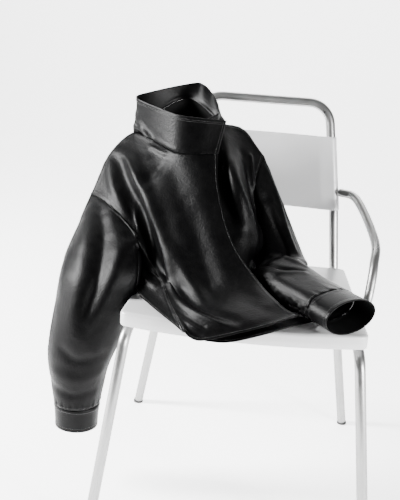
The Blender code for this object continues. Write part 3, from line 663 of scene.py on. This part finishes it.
# ---- jacket: folds ----------------------------------------------------------
# Each fold is a soft ridge, or a trough where its height is below zero, along a short line laid
# on the leather. x, y, z and the height at each point are in mm; lean makes one flank steeper.
RF, LF, BK, CL = ("right_front",), ("left_front",), ("back",), ("collar",)
RS = ("right_sleeve_front", "right_sleeve_back")
LS = ("left_sleeve_front", "left_sleeve_back")
FOLDS = (                  # pieces, width, lean, ((x, y, z, height), ...)
    (RF + BK, 13, 0.25, ((-325, 92, 715, 2), (-297, 67, 709, 6), (-265, 17, 679, 9), (-233, -27, 645, 10),
                         (-206, -60, 606, 10), (-184, -88, 569, 9), (-167, -115, 533, 8),
         (-156, -144, 492, 6))),
    (RF, 14, 0, ((-318, 76, 702, -2), (-303, 48, 684, -7), (-275, 8, 650, -9), (-245, -25, 613, -10),
                 (-223, -50, 574, -9), (-207, -78, 534, -6), (-195, -95, 505, -3))),
    (RF, 13, 0, ((-341, 91, 701, 2), (-320, 36, 657, 5), (-290, -5, 618, 6), (-254, -41, 574, 5),
         (-236, -66, 541, 2))),
    (RF, 9, 0.3, ((-156, -147, 491, 5), (-128, -204, 482, 7), (-93, -245, 477, 8), (-52, -270, 473, 7),
         (-13, -280, 467, 3))),
    (RF, 12, 0, ((-130, -170, 497, -3), (-100, -215, 487, -5), (-62, -245, 482, -5), (-15, -262, 476, -3))),
    (RF, 7, 0, ((-180, -120, 500, 3), (-155, -180, 482, 5), (-125, -238, 471, 6), (-95, -270, 464, 5),
         (-70, -285, 459, 2))),
    (RF, 6, 0, ((-165, -150, 488, -4), (-140, -215, 477, -5), (-108, -255, 469, -5), (-75, -276, 465, -3))),
    (RF, 6, 0, ((-195, -112, 500, 2), (-172, -165, 487, 4), (-140, -228, 470, 5), (-107, -285, 456, 3))),
    (RF, 26, 0.2, ((-175, -14, 696, -3), (-141, -64, 635, -6), (-104, -108, 574, -8),
         (-78, -156, 523, -8), (-66, -192, 500, -4))),
    (RF, 14, 0, ((-160, -105, 560, 3), (-141, -128, 534, 6), (-115, -159, 509, 7), (-85, -193, 495, 4))),
    (RF, 24, 0, ((-150, 10, 745, 3), (-124, -3, 720, 4), (-99, -49, 656, 5), (-81, -89, 598, 4),
         (-50, -140, 545, 2))),
    (RF, 6, 0, ((-245, 64, 741, 1), (-237, 58, 738, 3), (-211, 34, 733, 3), (-190, 22, 728, 1))),
    (RF, 18, 0, ((-20, -120, 560, 2), (20, -175, 520, 4), (50, -205, 500, 3))),
    (RF, 14, 0, ((-200, 20, 730, -2), (-230, 0, 690, -4), (-240, -10, 660, -2))),
    (LF, 17, 0.2, ((-62, 22, 723, 3), (-45, -8, 679, 8), (-26, -10, 629, 10), (-8, -5, 585, 9),
         (8, -10, 545, 5))),
    (LF, 12, 0, ((-40, 80, 735, -3), (-10, 53, 663, -8), (15, 50, 610, -8), (26, 58, 575, -4))),
    (LF, 5, 0, ((-21, 97, 729, 3), (-11, 69, 688, 5), (2, 66, 650, 3))),
    (LF, 10, 0, ((-80, 0, 690, -3), (-60, -20, 640, -4), (-38, -40, 590, -3))),
    (LS, 6, 0, ((16, 106, 700, 3), (44, 84, 649, 4), (69, 46, 592, 4), (95, 17, 545, 3))),
    (LS, 11, 0, ((22, 58, 642, -5), (53, 32, 583, -8), (80, -10, 548, -5))),
    (LS, 18, 0, ((10, 70, 610, 6), (24, 50, 570, 14), (36, 25, 535, 16), (42, 0, 510, 12),
         (48, -30, 500, 6))),
    (LF, 12, 0, ((16, 50, 600, 2), (24, 40, 565, 4), (26, 20, 525, 4))),
    (LF, 24, 0, ((14, -5, 510, -6), (28, -50, 488, -12), (48, -105, 480, -12), (70, -150, 478, -6))),
    (LS, 7, 0, ((20, -50, 530, 3), (43, -40, 530, 5), (84, -60, 545, 6), (116, -70, 540, 3))),
    (LS, 6, 0, ((30, -75, 528, -4), (65, -100, 530, -6), (110, -100, 536, -4))),
    (LS, 6, 0, ((40, -20, 535, -4), (84, -40, 548, -5), (112, -45, 545, -3))),
    (LS, 8, 0, ((45, -112, 525, 2), (65, -119, 530, 3), (110, -117, 536, 3))),
    (LS, 16, 0, ((50, -110, 530, 2), (86, -168, 525, 4), (143, -229, 522, 2))),
    (RS, 16, 0, ((-304, -27, 594, 4), (-277, -73, 559, 7), (-274, -120, 518, 8), (-287, -152, 462, 7),
                 (-309, -165, 415, 5), (-330, -170, 370, 2))),
    (RS, 24, 0, ((-363, 11, 596, 3), (-352, -79, 543, 5), (-346, -142, 481, 6), (-344, -165, 418, 6),
         (-342, -172, 360, 3))),
    (RS, 14, 0, ((-330, -20, 590, -3), (-312, -85, 545, -6), (-308, -140, 490, -7), (-320, -160, 435, -5),
         (-330, -168, 400, -2))),
    (RS, 20, 0, ((-281, 10, 575, 8), (-252, -50, 545, 18), (-254, -90, 510, 20), (-262, -110, 476, 14),
         (-268, -115, 434, 5))),
    (RF + BK, 20, 0, ((-232, 20, 575, 5), (-232, -25, 545, 13), (-230, -60, 515, 15),
         (-228, -90, 490, 11), (-215, -120, 480, 4))),
    (RS, 12, 0, ((-373, -168, 336, -2), (-340, -172, 318, -4), (-291, -152, 330, -2))),
    (RS, 14, 0, ((-385, -150, 280, 2), (-340, -170, 268, 3), (-300, -150, 285, 2))),
    (RS, 10, 0, ((-395, -130, 250, -2), (-350, -165, 232, -3), (-305, -140, 245, -1))),
    (RS, 15, 0, ((-300, -20, 540, 4), (-285, -60, 470, 6), (-290, -60, 400, 5), (-300, -65, 330, 3))),
    (RS, 14, 0, ((-370, 10, 560, -3), (-372, -40, 480, -6), (-370, -50, 410, -5), (-380, -60, 330, -2))),
    (CL, 5, 0, ((-288, 116, 773, 3), (-257, 89, 761, 6), (-240, 66, 745, 4))),
    (CL, 4, 0, ((-285, 112, 765, -3), (-262, 92, 752, -5), (-245, 72, 741, -3))),
    (CL, 6, 0, ((-286, 113, 804, 2), (-275, 105, 781, 4), (-247, 79, 756, 4))),
    (CL, 9, 0, ((-105, 100, 815, 2), (-104, 120, 800, 4), (-98, 128, 785, 3))),
    (BK, 16, 0, ((-280, 170, 690, 3), (-250, 190, 640, 6), (-225, 160, 580, 7), (-215, 120, 530, 5))),
    (BK, 15, 0, ((-240, 200, 740, -2), (-205, 215, 680, -6), (-175, 195, 600, -8), (-165, 175, 540, -6),
         (-160, 160, 500, -3))),
    (BK, 17, 0, ((-180, 215, 780, 3), (-150, 230, 710, 6), (-130, 215, 620, 7), (-120, 190, 540, 6),
         (-115, 165, 495, 2))),
    (BK, 14, 0, ((-120, 215, 770, -2), (-85, 228, 700, -6), (-75, 210, 620, -7), (-70, 180, 530, -4))),
    (BK, 15, 0, ((-70, 190, 770, 3), (-40, 215, 690, 6), (-25, 200, 610, 7), (-20, 165, 520, 4))),
    (BK, 12, 0, ((-20, 190, 720, -3), (5, 180, 660, -6), (10, 150, 590, -6), (15, 110, 530, -3))),
    (BK, 10, 0, ((-190, 140, 500, 4), (-110, 175, 495, 5), (-40, 170, 495, 4), (0, 110, 490, 2))),
    (BK, 12, 0, ((-190, 150, 525, -4), (-110, 190, 520, -5), (-30, 180, 520, -4))),
    (BK, 8, 0.2, ((-228, -90, 510, 3), (-215, -110, 492, 5), (-190, -130, 482, 3))),
)


def smooth(x):
    x = np.clip(x, 0, 1)
    return x * x * (3 - 2 * x)


def fold(line, width, lean):
    """Height, in mm, that one fold adds at every point of the shell."""
    line = spline(np.array(line, float), np.linspace(0, len(line) - 1, 14 * (len(line) - 1) + 1))
    path, height = line[:, :3], line[:, 3]
    reach = 2.6 * width
    near = ((points * 1000 > path.min(0) - reach) & (points * 1000 < path.max(0) + reach)).all(1)
    p, n = points[near] * 1000, base_normals[near]
    gap = np.linalg.norm(p[:, None] - path[None], axis=2)
    k = gap.argmin(1)
    off = p - path[k]
    tangent = unit(np.gradient(path, axis=0)[k])
    s = (np.cross(n, tangent) * off).sum(1)
    past = np.abs((off * tangent).sum(1))
    w = width * np.where(s > 0, 1 + lean, 1 - lean)
    depth = np.abs((off * n).sum(1))
    out = np.zeros(len(points))
    out[near] = (height[k] * np.exp(-(s / w) ** 2 - (past / (1.2 * width)) ** 2)
                 * smooth(2.2 - depth / (1.1 * width + 10)))
    return out


def ripples(size, seed, waves=9):
    """Even, random waves of about one size in mm, mostly between -1 and 1."""
    r = np.random.default_rng(seed)
    q = r.normal(size=(waves, 3))
    q *= (2 * pi / size * r.uniform(0.65, 1.45, waves) / np.linalg.norm(q, axis=1))[:, None]
    return np.cos(points * 1000 @ q.T + r.uniform(0, 2 * pi, waves)).sum(1) / np.sqrt(waves * 2)


def distance_to(members):
    """Distance of every point from a set of points, in mm."""
    tree = KDTree(len(members))
    for k in members:
        tree.insert(points[k], int(k))
    tree.balance()
    return np.array([tree.find(p)[2] for p in points]) * 1000


owners = np.sum(list(owned.values()), axis=0)
seam_gap = distance_to(np.flatnonzero(owners > 1))
edge_gap = distance_to(np.unique(border_of(all_quads)))

move = np.zeros(len(points))
for pieces, width, lean, line in FOLDS:
    allowed = np.any([owned[p] for p in pieces], axis=0)
    move += fold(line, width, lean) * allowed
# Small unevenness of the hide, calmer towards open edges and livelier beside seams.
calm = smooth(edge_gap / 25)
body = np.any([owned[p] for p in RF + LF + BK], axis=0)
arms = np.any([owned[p] for p in RS + LS], axis=0)
move += 1.1 * ripples(95, 3) * calm * (body | arms)
move += 0.4 * ripples(36, 5) * calm * (body | arms) * smooth(ripples(120, 6) + 0.6)
move += 0.14 * ripples(13, 8) * calm * smooth(ripples(70, 9) + 0.3)
move += 0.5 * ripples(9, 11) * np.exp(-(seam_gap / 7) ** 2) * smooth(ripples(50, 12) + 0.5)
# Short pleats above each cuff, and a pucker along the left forearm.
for hand in ("right", "left"):
    g = ids[hand + "_arm"][:SLEEVE_ROWS + 1]
    away = distance_to(ids[hand + "_arm"][SLEEVE_ROWS])[g]
    around = np.linspace(0, 2 * pi, g.shape[1])[None, :]
    pleat = np.sin(around * 17 + 1.3 * np.sin(around * 3)) + 0.6 * np.sin(around * 29 + 2)
    move[g] += 0.9 * pleat * np.exp(-(away / 13) ** 2) * smooth(away / 5)
PUCKER = ((36, -120, 504), (68, -156, 492), (98, -191, 489), (144, -251, 499))
pucker = spline(np.array(PUCKER) / 1000, np.linspace(0, len(PUCKER) - 1, 60))
away = np.linalg.norm(points[:, None] - pucker[None], axis=2).min(1) * 1000
left_arm_only = np.any([owned[p] for p in LS], axis=0)
move += (2.6 * ripples(12, 21) + 1.2 * ripples(22, 23)) * np.exp(-(away / 13) ** 2) * left_arm_only
# Seams sit a little below the leather beside them, which puffs up.
move += -0.9 * np.exp(-(seam_gap / 2.0) ** 2) + 0.45 * np.exp(-((seam_gap - 6) / 3.5) ** 2)
thick = LEATHER + 0.0009 * smooth((10 - edge_gap) / 2) - 0.0006 * np.exp(-((edge_gap - 8.5) / 1.2) ** 2)
thick = np.maximum(thick, 0.0011)

points = points + base_normals * (move / 1000)[:, None]
# Where the leather lies on the seat it is flat.
seat_edge = SEAT_FRONT_Y - SEAT_BOW * (1 - (points[:, 0] / SEAT_FRONT) ** 2) - 0.002
over_seat = (np.abs(points[:, 0]) < 0.244) & (points[:, 1] < SEAT_REAR_Y) & (points[:, 1] > seat_edge)
floor_z = SEAT_TOP + 0.0006 + thick / 2
over_seat &= points[:, 2] > 0.44
points[:, 2] = np.where(over_seat, np.maximum(points[:, 2], floor_z), points[:, 2])
normals = normals_of(points, all_quads, 1.6)

# ---- leather ----------------------------------------------------------------
# Smooth black cowhide with a semi-gloss finish: fine pebbled grain, pores, and hairline creases
# where it has been worn. The inside is a black twill lining.


def sums(t, operation, *terms):
    """The result of one Math node, from numbers and other nodes' outputs."""
    return node(t, "Math", dict(enumerate(terms)), operation=operation)["Value"]


def leather_grain():
    """The height, roughness and tone of the hide."""
    sizes = [("Grain size", 620.0), ("Crease size", 42.0), ("Gloss low", 0.26), ("Gloss high", 0.42)]
    t, given, made = new_group("leather_grain", sizes, ["Height", "Rough", "Tone"])
    place = given["Vector"]
    warp = node(t, "TexNoise", {"Vector": place, "Scale": 30.0, "Detail": 3.0})["Color"]
    shifted = node(t, "VectorMath", {0: warp, 1: (0.006, 0.006, 0.006), 2: place},
                   operation="MULTIPLY_ADD")["Vector"]
    pebble = node(t, "TexVoronoi", {"Vector": shifted, "Scale": given["Grain size"], "Smoothness": 0.5},
                  feature="SMOOTH_F1")["Distance"]
    crease = node(t, "TexVoronoi", {"Vector": shifted, "Scale": given["Crease size"]},
                  feature="DISTANCE_TO_EDGE")["Distance"]
    line = node(t, "MapRange", {"Value": crease, "From Max": 0.05, "To Min": 0.0, "To Max": 1.0})
    where = node(t, "TexNoise", {"Vector": place, "Scale": 11.0, "Detail": 4.0})["Fac"]
    mask = node(t, "MapRange", {"Value": where, "From Min": 0.5, "From Max": 0.72})["Result"]
    cracks = sums(t, "MULTIPLY", sums(t, "SUBTRACT", 1.0, line["Result"]), mask)
    fleck = node(t, "TexNoise", {"Vector": place, "Scale": 260.0, "Detail": 4.0, "Roughness": 0.65})
    flecked = sums(t, "MULTIPLY_ADD", fleck["Fac"], 1.6, sums(t, "MULTIPLY", cracks, -0.35))
    mottle = node(t, "TexNoise", {"Vector": place, "Scale": 55.0, "Detail": 5.0, "Roughness": 0.7})
    tone = mottle["Fac"]
    rough = node(t, "MapRange", {"Value": sums(t, "MULTIPLY_ADD", tone, 0.6, where), "From Min": 0.5,
                                 "From Max": 1.1, "To Min": given["Gloss low"],
                                 "To Max": given["Gloss high"]})
    t.links.new(sums(t, "MULTIPLY_ADD", pebble, 0.6, flecked), made["Height"])
    t.links.new(rough["Result"], made["Rough"])
    t.links.new(tone, made["Tone"])
    return t


GRAIN = leather_grain()


def hide(name, grain_size, gloss_low, gloss_high, bump_depth):
    m, t, b = finish(name, (0.0014, 0.0014, 0.0015), 0.0, 0.36, {"Specular IOR Level": 0.08})
    grain = node(t, "Group", {"Vector": object_place(t), "Grain size": grain_size, "Gloss low": gloss_low,
                              "Gloss high": gloss_high}, node_tree=GRAIN)
    tone = shades(t, grain["Tone"], (0.0006, 0.0006, 0.0007), (0.002, 0.002, 0.0021), 0.3, 0.75)
    surface(t, b, grain["Height"], bump_depth, 0.001, grain["Rough"], tone)
    return m


def twill():
    m, t, b = finish("black_lining", (0.0012, 0.0012, 0.0013), 0.0, 0.7, {"Specular IOR Level": 0.2})
    slant = node(t, "Mapping", {"Vector": object_place(t), "Rotation": (0.6, 0.5, 0.78)})["Vector"]
    weave = node(t, "TexWave", {"Vector": slant, "Scale": 620.0, "Distortion": 0.6})["Fac"]
    surface(t, b, weave, 0.25, 0.0003)
    return m


BODY_LAYERS = [hide("black_leather", 620.0, 0.3, 0.46, 0.42)]
TRIM_LAYERS = [hide("trim_leather", 700.0, 0.3, 0.44, 0.3)]
LINING = twill()
SEAM_INSET = 0.000165      # half of the gap between two pieces at a seam


def sew(name, source, mats, replaced=None, thickness=None, lift=0.0):
    """Makes one leather piece and fixes it to the body."""
    lined = thickness is None
    piece = wall(name, points, normals, quads[source], thick if lined else thickness,
                 mats + [LINING] * lined, lift, SEAM_INSET, lined)
    settle(piece, "black_leather", replaced or source)


# ---- body -------------------------------------------------------------------
# The right front laps over the left and has no visible fastening, only a turned and stitched
# edge. The back is one piece. Hems are turned up by about 9 mm and stitched.
sew("front_right_leather", "right_front", BODY_LAYERS)
sew("front_left_leather", "left_front", BODY_LAYERS)
sew("back_leather", "back", BODY_LAYERS)

# ---- sleeves ----------------------------------------------------------------
# Each sleeve is a front and a back half of leather, joined by an over seam and an under seam.
# The right one hangs free beside the seat, the left one lies on it.
sew("sleeve_right_front_leather", "right_sleeve_front", BODY_LAYERS)
sew("sleeve_right_back_leather", "right_sleeve_back", BODY_LAYERS)
sew("sleeve_left_front_leather", "left_sleeve_front", BODY_LAYERS)
sew("sleeve_left_back_leather", "left_sleeve_back", BODY_LAYERS)

# ---- cuffs ------------------------------------------------------------------
# A plain band of leather, 58 mm deep, sewn round the end of each sleeve.
sew("cuff_right_leather", "right_cuff", TRIM_LAYERS)
sew("cuff_left_leather", "left_cuff", TRIM_LAYERS)

# ---- collar -----------------------------------------------------------------
# A tall stand collar of two plies of leather, an outer and an inner one, sewn to the neck.
PLY_GAP = 0.0003
ply = (COLLAR_PLY + PLY_GAP) / 2
for side_of_neck, lift in (("outer", ply), ("inner", -ply)):
    sew("collar_%s_leather" % side_of_neck, "collar", TRIM_LAYERS,
        "collar_" + side_of_neck, COLLAR_PLY, lift)

# ---- topstitching -----------------------------------------------------------
# Black polyester thread, 3.2 mm to the stitch, runs beside the seams and along every edge.
STITCH = (("Spacing", 0.0032), ("Length", 0.0025), ("Thickness", 0.0007))


def thread_tree():
    """Turns the lines of a mesh into rows of stitches, each a small bead of thread."""
    t = bpy.data.node_groups.new("stitches", "GeometryNodeTree")
    face = t.interface
    face.new_socket("Geometry", in_out="INPUT", socket_type="NodeSocketGeometry")
    for label, value in STITCH:
        face.new_socket(label, in_out="INPUT", socket_type="NodeSocketFloat").default_value = value
    face.new_socket("Material", in_out="INPUT", socket_type="NodeSocketMaterial")
    face.new_socket("Geometry", in_out="OUTPUT", socket_type="NodeSocketGeometry")
    given = t.nodes.new("NodeGroupInput").outputs
    curve = node(t, "GeometryNodeMeshToCurve", {"Mesh": given["Geometry"]})["Curve"]
    steps = node(t, "GeometryNodeCurveToPoints", {"Curve": curve, "Length": given["Spacing"]},
                 mode="LENGTH")
    bead = node(t, "GeometryNodeMeshUVSphere", {"Radius": 0.5, "Segments": 6, "Rings": 4})["Mesh"]
    size = node(t, "CombineXYZ", {"X": given["Thickness"], "Y": given["Thickness"], "Z": given["Length"]})
    placed = node(t, "GeometryNodeInstanceOnPoints", {"Points": steps["Points"], "Instance": bead,
                  "Rotation": steps["Rotation"], "Scale": size["Vector"]})["Instances"]
    real = node(t, "GeometryNodeRealizeInstances", {"Geometry": placed})["Geometry"]
    even_shade = node(t, "GeometryNodeSetShadeSmooth", {"Geometry": real})["Geometry"]
    paint = node(t, "GeometryNodeSetMaterial", {"Geometry": even_shade, "Material": given["Material"]})
    t.links.new(paint["Geometry"], t.nodes.new("NodeGroupOutput").inputs["Geometry"])
    return t


def thread():
    m, t, b = finish("black_thread", (0.004, 0.004, 0.004), 0.0, 0.4, {"Sheen Weight": 0.3})
    twist = node(t, "TexWave", {"Vector": object_place(t), "Scale": 900.0, "Distortion": 1.0})["Fac"]
    surface(t, b, twist, 0.4, 0.0002)
    return m


R, L, B, C = (ids[k] for k in ("right_front", "left_front", "back", "collar"))
S, T = SLEEVE_ROWS, SLEEVE_ROWS + CUFF_ROWS
lines = [R[2:, 2], L[2:, 2], R[3, 2:-1], L[3, 2:-1], B[3, 1:-1], C[-3, 2:-2], C[-4, 2:-2], C[1:-2, 2],
         C[1:-2, -3],
         C[1, 2:-2], R[SIDE_ROWS:, -3], B[SIDE_ROWS:, 2], L[SIDE_ROWS:, -3], B[SIDE_ROWS:, -3],
         R[-3, 10 * K_COLS:], L[-3, 5 * K_COLS:], R[:SIDE_ROWS, -3]]
for g in (ids["right_arm"], ids["left_arm"]):
    lines += [g[2:S - 1, 2], g[2:S - 1, -3], g[S + 2, :], g[S - 2, :], g[T - 3, :]]
verts, edges = [], []
for line in lines:
    lift_off = thick[line] / 2 + (0.0008 if np.isin(line[len(line) // 2], C[2:]) else 0)
    run = points[line] + unit(normals[line]) * lift_off[:, None]
    edges += [(len(verts) + k, len(verts) + k + 1) for k in range(len(run) - 1)]
    verts += list(run + UNDER_MIDDLE)
mesh = bpy.data.meshes.new("stitch_lines")
mesh.from_pydata([tuple(v) for v in verts], edges, [])
guide = bpy.data.objects.new("stitch_lines", mesh)
add_object(guide)
tree = thread_tree()
mod = guide.modifiers.new("stitches", "NODES")
mod.node_group = tree
sockets = {s.name: s.identifier for s in tree.interface.items_tree if s.in_out == "INPUT"}
for label, value in STITCH:
    mod[sockets[label]] = value
mod[sockets["Material"]] = thread()
done = guide.evaluated_get(bpy.context.evaluated_depsgraph_get())
stitched = bpy.data.objects.new("topstitching", bpy.data.meshes.new_from_object(done))
add_object(stitched)
bpy.data.objects.remove(guide)
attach(stitched, "root")

# ---- studio -----------------------------------------------------------------
# A plain pale floor that curves up behind, a big soft window light from the left, a softer one
# from the right and one overhead.
GLOW = {"Specular IOR Level": 0.1, "Emission Color": (1, 1, 1, 1), "Emission Strength": 2.4}
floor_paint, t, b = finish("studio_floor", (0.92, 0.92, 0.92), 0.0, 0.8, GLOW)
FLOOR_FRONT, FLOOR_BACK, SWEEP, WALL_TOP = -1.3, 3.2, 1.5, 4.5
sweep = [(FLOOR_BACK + SWEEP * sin(a), SWEEP - SWEEP * cos(a)) for a in np.linspace(0.1, pi / 2, 14)]
profile = [(FLOOR_FRONT, 0.0), (FLOOR_BACK, 0.0)] + sweep + [(FLOOR_BACK + SWEEP, WALL_TOP)]
verts = [(x, y, z) for y, z in profile for x in (-4.5, 4.5)]
faces = [(2 * k, 2 * k + 1, 2 * k + 3, 2 * k + 2) for k in range(len(profile) - 1)]
put("studio", verts, faces, floor_paint)


def softbox(name, at, size, power, aim=(0, 0, 0.5)):
    light = bpy.data.lights.new(name, "AREA")
    light.shape, light.size, light.size_y, light.energy = "RECTANGLE", size[0], size[1], power
    obj = bpy.data.objects.new(name, light)
    obj.location = at
    obj.rotation_euler = (Vector(aim) - Vector(at)).to_track_quat("-Z", "Y").to_euler()
    add_object(obj)


softbox("window_left", (-2.7, -0.3, 1.7), (0.6, 1.3), 520)
softbox("window_right", (2.6, -2.0, 0.9), (0.6, 1.2), 240)
softbox("overhead", (0.0, 2.3, 3.3), (3.0, 1.0), 90, (0, 1.2, 0))
world = bpy.data.worlds.new("studio_air")
world.use_nodes = True
world.node_tree.nodes["Background"].inputs["Color"].default_value = (0.9, 0.9, 0.9, 1)
world.node_tree.nodes["Background"].inputs["Strength"].default_value = 0.3
bpy.context.scene.world = world
